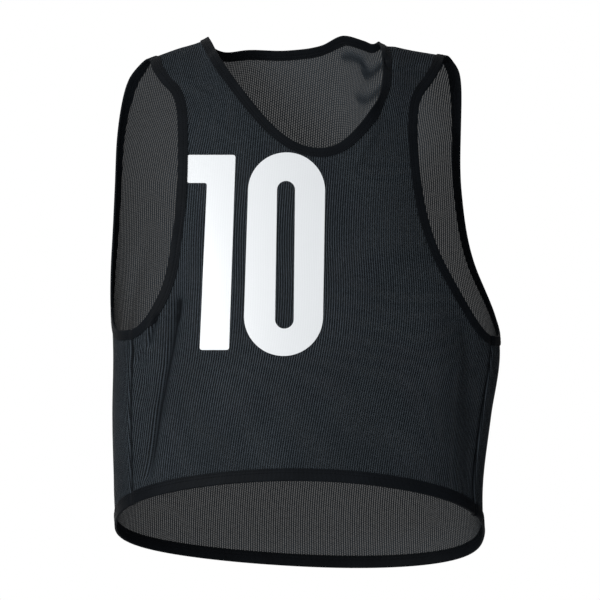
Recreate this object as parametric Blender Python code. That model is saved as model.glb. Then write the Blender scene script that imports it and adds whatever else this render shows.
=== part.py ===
"""Mesh training bib, worn form with nobody in it, hanging from the shoulders.

Metres, +Z up, the front faces -Y. The origin is at the level of the neck end of the shoulders,
midway between front and back, where a wearer holds the bib up.

The cloth follows one middle surface, body(around, down). around is the angle round the torso from
centre front, and down is the length of cloth below the ridge of the shoulders, as a tape measures it.
Each panel is cut from that surface by its seams and its bound edges. Each binding is a folded tape
whose two plies hold a panel's edge between them, made from the same stations as that edge.
"""

import math

import bpy
import numpy as np
from mathutils.geometry import delaunay_2d_cdt

# Cloth and tape, in metres
CLOTH = 0.0012
TAPE_PLY = 0.0010
SEAM_GAP = 0.0003
BINDING_WIDTH = 0.0120
HEM_BINDING_WIDTH = 0.0150

# The form of the torso that the cloth hangs on
FRONT_REACH = 0.124
BACK_REACH = 0.122
SQUARENESS = 2.4
RIDGE_FADE_START = 0.060
RIDGE_FADE_END = 0.230

# Half the width of the torso and the sideways sway of the hang, at a length down the cloth
TORSO = [
    {"down": 0.00, "half_width": 0.214, "sway": -0.004},
    {"down": 0.10, "half_width": 0.216, "sway": -0.010},
    {"down": 0.21, "half_width": 0.218, "sway": -0.011},
    {"down": 0.30, "half_width": 0.224, "sway": -0.006},
    {"down": 0.37, "half_width": 0.231, "sway": 0.004},
    {"down": 0.42, "half_width": 0.232, "sway": 0.007},
    {"down": 0.50, "half_width": 0.2265, "sway": 0.001},
    {"down": 0.59, "half_width": 0.220, "sway": -0.003},
    {"down": 0.70, "half_width": 0.220, "sway": 0.004},
]

# Height of the shoulder ridge across the body; inside the neck it is the slope up to the neck
RIDGE = [
    {"across": -0.240, "height": -0.053},
    {"across": -0.181, "height": -0.0297},
    {"across": -0.148, "height": -0.0167},
    {"across": -0.113, "height": -0.004},
    {"across": -0.085, "height": 0.016},
    {"across": -0.050, "height": 0.042},
    {"across": 0.000, "height": 0.053},
    {"across": 0.040, "height": 0.050},
    {"across": 0.066, "height": 0.047},
    {"across": 0.086, "height": 0.021},
    {"across": 0.098, "height": -0.002},
    {"across": 0.106, "height": -0.0065},
    {"across": 0.118, "height": -0.0075},
    {"across": 0.130, "height": -0.010},
    {"across": 0.181, "height": -0.018},
    {"across": 0.240, "height": -0.030},
]

# The shoulder seams lie forward of the ridge, and the side seams forward of the sides
SHOULDER_SEAM_FORWARD = 0.008
SIDE_SEAM = 63.0
RADIUS_AT_SIDE_SEAM = 0.14
SEAM_HALF_TURN = SEAM_GAP / 2 / RADIUS_AT_SIDE_SEAM
FRONT_SHOULDER_EDGE = SHOULDER_SEAM_FORWARD + SEAM_GAP / 2
BACK_SHOULDER_EDGE = -SHOULDER_SEAM_FORWARD + SEAM_GAP / 2
FRONT_SIDE_EDGE = SIDE_SEAM - math.degrees(SEAM_HALF_TURN)
BACK_SIDE_EDGE = SIDE_SEAM + math.degrees(SEAM_HALF_TURN)

# Armhole edges from the shoulder seam to the top of the side seam, in degrees and metres
FRONT_ARMHOLE = [
    {"around": 52.5, "down": FRONT_SHOULDER_EDGE},
    {"around": 50.5, "down": 0.038},
    {"around": 46.0, "down": 0.070},
    {"around": 41.4, "down": 0.098},
    {"around": 39.3, "down": 0.130},
    {"around": 38.8, "down": 0.190},
    {"around": 39.6, "down": 0.258},
    {"around": 42.6, "down": 0.316},
    {"around": 47.0, "down": 0.358},
    {"around": 52.5, "down": 0.387},
    {"around": 58.0, "down": 0.402},
    {"around": FRONT_SIDE_EDGE, "down": 0.406},
]
BACK_ARMHOLE = [
    {"around": 127.5, "down": BACK_SHOULDER_EDGE},
    {"around": 122.0, "down": 0.010},
    {"around": 115.0, "down": 0.034},
    {"around": 111.2, "down": 0.070},
    {"around": 110.0, "down": 0.130},
    {"around": 110.0, "down": 0.220},
    {"around": 107.5, "down": 0.290},
    {"around": 99.0, "down": 0.350},
    {"around": 87.0, "down": 0.386},
    {"around": 75.0, "down": 0.402},
    {"around": BACK_SIDE_EDGE, "down": 0.406},
]

# Neck edge: its ends on the shoulders, its depths down the cloth and its pull to one side in front
NECK_LEFT = -0.108
NECK_RIGHT = 0.098
FRONT_NECK_DOWN = 0.195
BACK_NECK_DOWN = 0.082
NECK_PULL = 0.026
NECK_FULLNESS = 0.9

# Height of the hem round the body, as waves of the angle round it
HEM_MEAN = -0.595
HEM_FRONT_RISE = 0.037
HEM_SIDE_DIP = 0.004
HEM_TILT = 0.006
HEM_BACK_TILT = 0.002

# Soft folds that the cloth hangs in, in degrees and metres; depth is inwards
FOLDS = [
    {"top": (-41.0, 0.330), "foot": (-54.0, 0.565), "depth": 0.0055, "half_width": 0.015},
    {"top": (-60.0, 0.425), "foot": (-53.0, 0.490), "depth": 0.0030, "half_width": 0.011},
    {"top": (54.0, 0.430), "foot": (58.0, 0.590), "depth": 0.0040, "half_width": 0.014},
    {"top": (150.0, 0.340), "foot": (122.0, 0.600), "depth": 0.0050, "half_width": 0.018},
    {"top": (214.0, 0.330), "foot": (244.0, 0.590), "depth": 0.0050, "half_width": 0.018},
]
FOLD_TOP_FADE = 3.0
FOLD_FOOT_FADE = 2.0
FOLD_END_STRENGTH = 0.6

# Length of cloth that goes over the shoulder before it hangs straight down
SHOULDER_TAKE_UP = 0.040
HEIGHT_CORRECTIONS = 6

# Spacing of the net that the panels are drawn on, and of the stations along their edges
NET = 0.020
STATION_LENGTH = 0.020
STATION_TURN = math.radians(18)
SHOULDER_ROWS = [-0.004, 0.001, 0.006, 0.013, 0.022, 0.033, 0.047]
FLAT_RADIUS = 0.190
NET_CLEARANCE = 0.009
SLIVER = 0.0001
SLOPE_STEP = 0.0001
SHARP_ANGLE = math.radians(50)

MESH_BLACK = (0.022, 0.024, 0.027, 1.0)
TAPE_BLACK = (0.008, 0.008, 0.010, 1.0)


def through(table, key, column, at):
    """Smooth curve through a table's rows, read at the given places."""
    places = np.array([row[key] for row in table])
    values = np.array([row[column] for row in table])
    slopes = np.gradient(values, places)
    at = np.clip(np.asarray(at, float), places[0], places[-1])
    i = np.clip(np.searchsorted(places, at) - 1, 0, len(places) - 2)
    span = places[i + 1] - places[i]
    t = (at - places[i]) / span
    return (
        (1 + 2 * t) * (1 - t) ** 2 * values[i]
        + t * (1 - t) ** 2 * span * slopes[i]
        + t**2 * (3 - 2 * t) * values[i + 1]
        + t**2 * (t - 1) * span * slopes[i + 1]
    )


def smooth_step(t):
    t = np.clip(t, 0.0, 1.0)
    return t * t * (3 - 2 * t)


def torso(around, down):
    """The torso's surface without folds; a negative down crosses the shoulder ridge."""
    sine = np.sin(around)
    cosine = np.where(np.asarray(down) < 0, -np.cos(around), np.cos(around))
    down = np.abs(down)
    rounding = (np.abs(sine) ** SQUARENESS + np.abs(cosine) ** SQUARENESS) ** (-1 / SQUARENESS)
    x = through(TORSO, "down", "half_width", down) * rounding * sine
    reach = np.where(cosine > 0, FRONT_REACH, BACK_REACH)
    steepness = np.sqrt(1 - np.exp(-2 * down / reach))
    drop = reach * (np.arctanh(steepness) - steepness)
    y = -reach * (1 - np.exp(-down / reach)) * rounding * cosine
    fade = 1 - smooth_step((down - RIDGE_FADE_START) / (RIDGE_FADE_END - RIDGE_FADE_START))
    z = through(RIDGE, "across", "height", x) * fade - drop
    x = x + through(TORSO, "down", "sway", down)
    return np.stack([x, y, z], -1)


def flat(around, down):
    """Rough flat place of a point, for distances across folds and for the net."""
    return np.stack([np.asarray(around, float) * FLAT_RADIUS, np.asarray(down, float)], -1)


def fold_depth(around, down):
    """How far the folds sink the cloth inwards, the same from either panel's angles."""
    sunk = np.zeros(np.broadcast(around, down).shape)
    for fold in FOLDS:
        start, end = math.radians(fold["top"][0]), math.radians(fold["foot"][0])
        turned = start + (np.asarray(around) - start + math.pi) % math.tau - math.pi
        here = flat(turned, down)
        top = flat(start, fold["top"][1])
        foot = flat(end, fold["foot"][1])
        run = foot - top
        along = (here - top) @ run / (run @ run)
        aside = here - top - np.clip(along, 0, 1)[..., None] * run
        near = np.exp(-((aside**2).sum(-1)) / (2 * fold["half_width"] ** 2))
        from_top = smooth_step(along * FOLD_TOP_FADE + FOLD_END_STRENGTH)
        from_foot = smooth_step((1 - along) * FOLD_FOOT_FADE + FOLD_END_STRENGTH)
        sunk += fold["depth"] * near * from_top * from_foot
    return sunk


def slopes_of(surface, around, down):
    """The surface's two slopes at a point, by small steps."""
    step = SLOPE_STEP
    d_around = (surface(around + step, down) - surface(around - step, down)) / (2 * step)
    d_down = (surface(around, down + step) - surface(around, down - step)) / (2 * step)
    return d_around, d_down


def unit(vectors):
    return vectors / np.linalg.norm(vectors, axis=-1, keepdims=True)


def body(around, down):
    """Middle surface of the cloth: the torso's form with its folds sunk in."""
    d_around, d_down = slopes_of(torso, np.asarray(around, float), np.asarray(down, float))
    inward = unit(np.cross(d_around, d_down))
    return torso(around, down) + inward * fold_depth(around, down)[..., None]


def outward(around, down):
    """Unit normals that point out of the bib."""
    d_around, d_down = slopes_of(body, around, down)
    return -unit(np.cross(d_around, d_down))


def around_at(across, down):
    """Angle on the front half where the torso reaches a distance across, at a length down."""
    ratio = np.clip(np.abs(across) / through(TORSO, "down", "half_width", np.abs(down)), 0, 0.999)
    power = ratio**SQUARENESS
    return np.sign(across) * np.arctan((power / (1 - power)) ** (1 / SQUARENESS))


def down_at(around, height):
    """Length down the cloth at a height, well below the ridge, by a few corrections."""
    down = SHOULDER_TAKE_UP - np.asarray(height, float)
    for _ in range(HEIGHT_CORRECTIONS):
        down = down + (body(around, down)[..., 2] - height)
    return down


def spaced(around, down):
    """Stations along a fine line, at most so far apart and closer where it turns."""
    points = body(around, down)
    steps = np.linalg.norm(np.diff(points, axis=0), axis=1)
    tangents = unit(np.gradient(points, axis=0))
    turns = np.linalg.norm(np.diff(tangents, axis=0), axis=1)
    measure = np.concatenate([[0], np.cumsum(steps / STATION_LENGTH + turns / STATION_TURN)])
    at = np.linspace(0, measure[-1], max(3, round(measure[-1])) + 1)
    return np.stack([np.interp(at, measure, around), np.interp(at, measure, down)], 1)


def bound_edge(line, first, last):
    """An edge's stations, each with the step in (around, down) that goes one metre into the cloth.

    first and last are the ways that the steps at the two ends take, along the seams there.
    """
    around, down = line.T
    d_around, d_down = slopes_of(body, around, down)
    tangent = unit(np.gradient(body(around, down), axis=0))
    inward = unit(np.cross(np.cross(d_around, d_down), tangent))
    aa = (d_around * d_around).sum(-1)
    ad = (d_around * d_down).sum(-1)
    dd = (d_down * d_down).sum(-1)
    a = (d_around * inward).sum(-1)
    d = (d_down * inward).sum(-1)
    steps = np.stack([a * dd - d * ad, d * aa - a * ad], 1) / (aa * dd - ad * ad)[:, None]
    steps *= np.sign(steps[0] @ np.array(first))
    for end, way in ((0, first), (-1, last)):
        travel = d_around[end] * way[0] + d_down[end] * way[1]
        steps[end] = np.array(way) / np.linalg.norm(travel)
    return {"line": line, "steps": steps}


def inset(edge, distance):
    """The edge's stations moved into the cloth."""
    return edge["line"] + edge["steps"] * distance


def armhole_edge(front, side):
    """One panel's armhole edge, from the shoulder seam down to the side seam; side is 1 or -1."""
    table = FRONT_ARMHOLE if front else BACK_ARMHOLE
    rows = [{"row": i, **row} for i, row in enumerate(table)]
    fine = np.linspace(0, len(table) - 1, 600)
    around = np.radians(through(rows, "row", "around", fine))
    down = through(rows, "row", "down", fine)
    line = spaced(around, down)
    toward_middle = -1 if front else 1
    if side < 0:
        line[:, 0] = -line[:, 0] if front else math.tau - line[:, 0]
        toward_middle = -toward_middle
    return bound_edge(line, (toward_middle, 0), (0, 1))


def neck_edge(front):
    """One panel's neck edge, from its left shoulder to its right one."""
    turn = np.linspace(0, math.pi, 600)
    middle = (NECK_LEFT + NECK_RIGHT) / 2
    half = (NECK_RIGHT - NECK_LEFT) / 2
    if front:
        sink = np.sin(turn) ** NECK_FULLNESS
        down = FRONT_SHOULDER_EDGE + (FRONT_NECK_DOWN - FRONT_SHOULDER_EDGE) * sink
        across = middle - half * np.cos(turn) + NECK_PULL * sink
        return bound_edge(spaced(around_at(across, down), down), (-1, 0), (1, 0))
    down = BACK_SHOULDER_EDGE + (BACK_NECK_DOWN - BACK_SHOULDER_EDGE) * np.sin(turn)
    across = middle - half * np.cos(turn)
    return bound_edge(spaced(math.pi - around_at(across, down), down), (1, 0), (-1, 0))


def hem_edge(front):
    """One panel's hem, from one side seam to the other."""
    seam = math.radians(SIDE_SEAM)
    start, end = (-seam, seam) if front else (seam, math.tau - seam)
    around = np.linspace(start + SEAM_HALF_TURN, end - SEAM_HALF_TURN, 400)
    height = HEM_MEAN + HEM_FRONT_RISE * np.cos(around) + HEM_SIDE_DIP * np.cos(2 * around)
    height += HEM_BACK_TILT * np.sin(2 * around) - HEM_TILT * np.sin(around)
    return bound_edge(spaced(around, down_at(around, height)), (0, -1), (0, -1))


def between(start, end):
    """Points along a seam between the bindings that end on it, without its two ends."""
    length = np.linalg.norm(body(*start) - body(*end))
    count = max(2, round(length / NET))
    return np.linspace(start, end, count + 1)[1:-1]


def inside(points, outline):
    """Which flat points lie inside a closed outline."""
    a = outline
    run = np.roll(outline, -1, axis=0) - a
    p = points[:, None]
    crosses = (a[:, 1] > p[..., 1]) != (a[:, 1] + run[:, 1] > p[..., 1])
    reach = a[:, 0] + (p[..., 1] - a[:, 1]) * run[:, 0] / np.where(run[:, 1] == 0, 1, run[:, 1])
    return (crosses & (p[..., 0] < reach)).sum(1) % 2 == 1


def clear_of(points, outline):
    """Distance of flat points from a closed outline."""
    run = np.roll(outline, -1, axis=0) - outline
    p = points[:, None]
    t = np.clip(((p - outline) * run).sum(-1) / (run * run).sum(-1), 0, 1)
    return np.linalg.norm(p - outline - t[..., None] * run, axis=-1).min(1)


def net_points(outline):
    """Places for the net inside a panel, in rows that are closer over the shoulder."""
    low, high = outline.min(0), outline.max(0)
    rows = SHOULDER_ROWS + list(np.arange(SHOULDER_ROWS[-1] + NET, high[1], NET))
    columns = np.linspace(low[0], high[0], round((high[0] - low[0]) / NET) + 1)
    grid = np.array([(x, y) for y in rows for x in columns])
    return grid[inside(grid, outline) & (clear_of(grid, outline) > NET_CLEARANCE)]


def panel_net(edges, front):
    """A panel's points in (around, down) and its triangles.

    The cloth under each binding is a strip of its own, on the binding's stations.
    """
    right, left, neck, hem = edges["right"], edges["left"], edges["neck"], edges["hem"]
    inner = {
        "right": inset(right, BINDING_WIDTH),
        "left": inset(left, BINDING_WIDTH),
        "neck": inset(neck, BINDING_WIDTH),
        "hem": inset(hem, HEM_BINDING_WIDTH),
    }
    first, last = ("left", "right") if front else ("right", "left")
    neck_back = inner["neck"][::-1] if front else inner["neck"]
    loop = [("hem", inner["hem"])]
    loop += [("", between(inner["hem"][-1], inner[last][-1])), (last, inner[last][::-1])]
    loop += [("", between(inner[last][0], neck_back[0])), ("neck", neck_back)]
    loop += [("", between(neck_back[-1], inner[first][0])), (first, inner[first])]
    loop += [("", between(inner[first][-1], inner["hem"][0]))]
    points = np.concatenate([stretch for _, stretch in loop])
    scale = np.array([FLAT_RADIUS, 1.0])
    outline = points * scale
    points = np.concatenate([points, net_points(outline) / scale])
    bounds = [(i, (i + 1) % len(outline)) for i in range(len(outline))]
    net = points * scale
    made = delaunay_2d_cdt([tuple(p) for p in net], bounds, [], 0, 1e-7, True)
    source = [ids[0] for ids in made[3]]
    triangles = np.array([[source[i] for i in face] for face in made[2]])
    middles = net[triangles].mean(1)
    kept = inside(middles, outline) & (clear_of(middles, outline) > SLIVER)
    triangles = [tuple(t) for t in triangles[kept]]

    place = 0
    for name, stretch in loop:
        if name:
            ids = np.arange(place, place + len(stretch))
            forward = (name == "hem") or (name == "neck" and not front) or name == first
            ids = ids if forward else ids[::-1]
            rim = inset(edges[name], TAPE_PLY + SEAM_GAP)
            outer = np.arange(len(points), len(points) + len(rim))
            points = np.concatenate([points, rim])
            for k in range(len(ids) - 1):
                strip = [(outer[k], outer[k + 1], ids[k + 1]), (outer[k], ids[k + 1], ids[k])]
                triangles += [t[::-1] for t in strip] if forward else strip
        place += len(stretch)
    return points, np.array(triangles)


def sheet_solid(points, triangles):
    """A wall of cloth on the middle surface: both faces and the rim round its outline."""
    around, down = points.T
    middle = body(around, down)
    normal = outward(around, down)
    count = len(points)
    vertices = np.concatenate([middle + normal * CLOTH / 2, middle - normal * CLOTH / 2])
    directed = {(a, b) for t in triangles for a, b in ((t[0], t[1]), (t[1], t[2]), (t[2], t[0]))}
    rim = [(a, b) for a, b in directed if (b, a) not in directed]
    faces = [tuple(t) for t in triangles]
    faces += [(c + count, b + count, a + count) for a, b, c in triangles]
    for a, b in sorted(rim):
        faces += [(b, a, a + count), (b, a + count, b + count)]
    return vertices, faces


def tape_profiles(edge, width):
    """Eight points of the folded tape's section at each station of an edge."""
    clear = CLOTH / 2 + SEAM_GAP
    thick = clear + TAPE_PLY
    corners = [
        (width, thick),
        (0.0, thick),
        (0.0, -thick),
        (width, -thick),
        (width, -clear),
        (TAPE_PLY, -clear),
        (TAPE_PLY, clear),
        (width, clear),
    ]
    profile = []
    for into, lift in corners:
        around, down = inset(edge, into).T
        profile.append(body(around, down) + outward(around, down) * lift)
    return np.stack(profile, 1)


def tape_solid(profiles, forward, closed):
    """The tape's skin through its sections; an open tape gets two end caps.

    The first spans, as many as forward says, run the way of their panel's stations and the rest
    run against it, so that each face is split along the same diagonal as the cloth under it.
    """
    stations, sides = profiles.shape[:2]
    at_fold = {1, 2, 5, 6}
    faces = []
    for k in range(stations if closed else stations - 1):
        here = k * sides
        there = (k + 1) % stations * sides
        for p in range(sides):
            q = (p + 1) % sides
            if (p in at_fold) == (k < forward):
                faces += [(here + p, there + q, there + p), (here + p, here + q, there + q)]
            else:
                faces += [(here + p, here + q, there + p), (here + q, there + q, there + p)]
    if not closed:
        last = (stations - 1) * sides
        for a, b, c, d in ((0, 1, 6, 7), (1, 2, 5, 6), (2, 3, 4, 5)):
            faces += [(c, b, a), (d, c, a)]
            faces += [(last + a, last + b, last + c), (last + a, last + c, last + d)]
    return profiles.reshape(-1, 3), faces


def ring_solid(front, back):
    """A binding that runs round an opening, along one panel's edge and back along the other's."""
    start, turn = (front[0] + back[0]) / 2, (front[-1] + back[-1]) / 2
    profiles = np.concatenate([[start], front[1:-1], [turn], back[-2:0:-1]])
    return tape_solid(profiles, len(front) - 1, True)


def cloth_material(name, colour, roughness):
    material = bpy.data.materials.new(name)
    material.use_nodes = True
    shader = material.node_tree.nodes["Principled BSDF"]
    shader.inputs["Base Color"].default_value = colour
    shader.inputs["Roughness"].default_value = roughness
    shader.inputs["Metallic"].default_value = 0.0
    material.diffuse_color = colour
    return material


def add_solid(name, vertices, faces, colour, roughness):
    """One closed piece, turned so that its faces point out."""
    faces = np.array(faces)
    a, b, c = (vertices[faces[:, i]] for i in range(3))
    if (a * np.cross(b, c)).sum() < 0:
        faces = faces[:, ::-1]
    mesh = bpy.data.meshes.new(name)
    mesh.from_pydata(vertices.tolist(), [], faces.tolist())
    mesh.materials.append(cloth_material(name + "_cloth", colour, roughness))
    mesh.shade_smooth()
    mesh.set_sharp_from_angle(angle=SHARP_ANGLE)
    mesh.validate()
    bpy.context.scene.collection.objects.link(bpy.data.objects.new(name, mesh))


def build():
    for old in list(bpy.data.objects):
        bpy.data.objects.remove(old)
    tapes = {}
    for front in (True, False):
        edges = {
            "right": armhole_edge(front, 1),
            "left": armhole_edge(front, -1),
            "neck": neck_edge(front),
            "hem": hem_edge(front),
        }
        word = "front" if front else "back"
        add_solid(word + "_panel", *sheet_solid(*panel_net(edges, front)), MESH_BLACK, 0.75)
        tapes[word] = {key: tape_profiles(edges[key], BINDING_WIDTH) for key in ("right", "left", "neck")}
        hem = tape_profiles(edges["hem"], HEM_BINDING_WIDTH)
        add_solid(word + "_hem_binding", *tape_solid(hem, len(hem), False), TAPE_BLACK, 0.6)
    names = {"right": "armhole_binding_right", "left": "armhole_binding_left", "neck": "neck_binding"}
    for key, name in names.items():
        add_solid(name, *ring_solid(tapes["front"][key], tapes["back"][key]), TAPE_BLACK, 0.6)


build()
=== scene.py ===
"""Looks of the mesh training bib: knitted panels, folded bindings, sewn seams and the number.

Metres, +Z up, the front faces -Y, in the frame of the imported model. The cloth follows the same
middle surface as the solids, body(around, down), with finer creases: around is the angle round the
torso from centre front, and down is the length of cloth below the ridge of the shoulders.
"""

import math

import bpy
import numpy as np
from mathutils import Matrix, Vector
from mathutils.geometry import delaunay_2d_cdt


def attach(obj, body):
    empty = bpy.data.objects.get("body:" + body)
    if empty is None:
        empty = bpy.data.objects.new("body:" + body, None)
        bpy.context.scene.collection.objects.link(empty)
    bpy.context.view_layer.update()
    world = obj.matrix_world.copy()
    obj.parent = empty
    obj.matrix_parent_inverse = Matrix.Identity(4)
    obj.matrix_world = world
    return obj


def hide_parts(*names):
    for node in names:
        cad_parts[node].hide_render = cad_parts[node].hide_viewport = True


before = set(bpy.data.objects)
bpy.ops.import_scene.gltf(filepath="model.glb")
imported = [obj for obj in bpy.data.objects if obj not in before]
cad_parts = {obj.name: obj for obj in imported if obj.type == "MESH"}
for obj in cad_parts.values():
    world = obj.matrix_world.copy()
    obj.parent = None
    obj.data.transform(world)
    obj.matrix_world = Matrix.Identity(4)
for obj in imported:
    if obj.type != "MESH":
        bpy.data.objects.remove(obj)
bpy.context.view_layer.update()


def table(columns, *rows):
    """Rows of numbers as dicts, by the names of the columns."""
    return [dict(zip(columns.split(), row)) for row in rows]


# The camera: its turn round the bib, its height, its distance and the point it looks at
VIEW_AZIMUTH = math.radians(-6)
VIEW_ELEVATION = math.radians(-9)
VIEW_DISTANCE = 6.0
VIEW_TARGET = np.array([0.0, 0.0, -0.32])
VIEW_WIDTH = 0.72
VIEW_SLIDE = 0.0012
SENSOR = 36.0

# The room is dimmer behind the camera and to both sides: as a direction's share in a way goes
# through the range, the light falls to what is left
ROOM_SHADES = table(
    "way range left",
    ((0.93, -0.34, -0.12), (-0.15, 0.60), 0.10),
    ((1.0, 0.0, 0.0), (0.17, 0.50), 0.10),
    ((-1.0, 0.0, 0.0), (0.15, 0.90), 0.40),
)

KEY_PLACE = np.array([-0.8, -1.35, -0.2])
KEY_SIZE = 0.5
KEY_POWER = 17.0
KEY_COLOUR = (1.0, 0.99, 0.97)
FLOOR_REACH = 30.0
FLOOR_HEIGHT = -1.5
FLOOR_COLOUR = (0.86, 0.86, 0.86, 1)

# Cloth, film, tape and thread, in metres
CLOTH = 0.0003
FILM_LOW = 0.00008
FILM_TOP = 0.00026
BINDING_WIDTH = 0.0120
HEM_BINDING_WIDTH = 0.0150
TAPE_HALF = 0.00145
TAPE_PLY = 0.0009
CLOTH_IN_TAPE = 0.0013
SEAM_GAP = 0.0003

# Rows of stitches, by their distance from the tape's open edges, and the dents that they make
SEWING_ROWS = (0.0020, 0.0052)
SEWING_DENT = 0.00022
SEWING_DENT_WIDTH = 0.0006
STITCH_PITCH = 0.0031
STITCH_LENGTH = 0.0024
STITCH_RADIUS = 0.00028
STITCH_SUNK = 0.0002
STITCH_SIDES = 6
# A stitch's rings: the share of its length, and the lift and radius as shares of its radius
STITCH_RINGS = np.array([
    (-0.50, -1.00, 0.35),
    (-0.38, 0.10, 0.85),
    (-0.15, 0.55, 1.00),
    (0.15, 0.55, 1.00),
    (0.38, 0.10, 0.85),
    (0.50, -1.00, 0.35),
])

# Overlocked seam allowances inside the bib
ALLOWANCE = 0.0058
ALLOWANCE_THICKNESS = 0.0011
ALLOWANCE_LIFT = -CLOTH / 2 - 0.0004
OVERLOCK_BEAT = 0.0009
OVERLOCK_RADIUS = 0.0002
THREAD_SIDES = 5
THREAD_UPWARD = np.array([0.31, 0.87, 0.38])

# The form of the torso that the cloth hangs on
FRONT_REACH = 0.124
BACK_REACH = 0.122
SQUARENESS = 2.4
RIDGE_FADE_START = 0.060
RIDGE_FADE_END = 0.230

# Half the width of the torso and the sideways sway of the hang, at a length down the cloth
TORSO = table(
    "down half_width sway",
    (0.0, 0.214, -0.004),
    (0.1, 0.216, -0.01),
    (0.21, 0.218, -0.011),
    (0.3, 0.224, -0.006),
    (0.37, 0.231, 0.004),
    (0.42, 0.232, 0.007),
    (0.5, 0.2265, 0.001),
    (0.59, 0.22, -0.003),
    (0.7, 0.22, 0.004),
)

# Height of the shoulder ridge across the body; inside the neck it is the slope up to the neck
RIDGE = table(
    "across height",
    (-0.24, -0.053),
    (-0.181, -0.0297),
    (-0.148, -0.0167),
    (-0.113, -0.004),
    (-0.085, 0.016),
    (-0.05, 0.042),
    (0.0, 0.053),
    (0.04, 0.05),
    (0.066, 0.047),
    (0.086, 0.021),
    (0.098, -0.002),
    (0.106, -0.0065),
    (0.118, -0.0075),
    (0.13, -0.01),
    (0.181, -0.018),
    (0.24, -0.03),
)

# The shoulder seams lie forward of the ridge, and the side seams forward of the sides
SHOULDER_SEAM_FORWARD = 0.008
SIDE_SEAM = 63.0
SIDE_SEAM_TOP = 0.38
RADIUS_AT_SIDE_SEAM = 0.14
SEAM_HALF_TURN = SEAM_GAP / 2 / RADIUS_AT_SIDE_SEAM
FRONT_SHOULDER_EDGE = SHOULDER_SEAM_FORWARD + SEAM_GAP / 2
BACK_SHOULDER_EDGE = -SHOULDER_SEAM_FORWARD + SEAM_GAP / 2
FRONT_SIDE_EDGE = SIDE_SEAM - math.degrees(SEAM_HALF_TURN)
BACK_SIDE_EDGE = SIDE_SEAM + math.degrees(SEAM_HALF_TURN)

# Armhole edges from the shoulder seam to the top of the side seam, in degrees and metres
FRONT_ARMHOLE = table(
    "around down",
    (52.5, FRONT_SHOULDER_EDGE),
    (50.5, 0.038),
    (46.0, 0.07),
    (41.4, 0.098),
    (39.3, 0.13),
    (38.8, 0.19),
    (39.6, 0.258),
    (42.6, 0.316),
    (47.0, 0.358),
    (52.5, 0.387),
    (58.0, 0.402),
    (FRONT_SIDE_EDGE, 0.406),
)
BACK_ARMHOLE = table(
    "around down",
    (127.5, BACK_SHOULDER_EDGE),
    (122.0, 0.01),
    (115.0, 0.034),
    (111.2, 0.07),
    (110.0, 0.13),
    (110.0, 0.22),
    (107.5, 0.29),
    (99.0, 0.35),
    (87.0, 0.386),
    (75.0, 0.402),
    (BACK_SIDE_EDGE, 0.406),
)

# Neck edge: its ends on the shoulders, its depths down the cloth and its pull to one side in front
NECK_LEFT = -0.108
NECK_RIGHT = 0.098
FRONT_NECK_DOWN = 0.195
BACK_NECK_DOWN = 0.082
NECK_PULL = 0.026
NECK_FULLNESS = 0.9

# Height of the hem round the body, as waves of the angle round it
HEM_MEAN = -0.595
HEM_FRONT_RISE = 0.037
HEM_SIDE_DIP = 0.004
HEM_TILT = 0.006
HEM_BACK_TILT = 0.002

# Main folds, as in the solids, in degrees and metres; depth is inwards
FOLDS = table(
    "top_turn top_down foot_turn foot_down depth half_width",
    (-41.0, 0.33, -54.0, 0.565, 0.0055, 0.015),
    (-60.0, 0.425, -53.0, 0.49, 0.003, 0.011),
    (54.0, 0.43, 58.0, 0.59, 0.004, 0.014),
    (150.0, 0.34, 122.0, 0.6, 0.005, 0.018),
    (214.0, 0.33, 244.0, 0.59, 0.005, 0.018),
)
FOLD_TOP_FADE = 3.0
FOLD_FOOT_FADE = 2.0
FOLD_END_STRENGTH = 0.6

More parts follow.
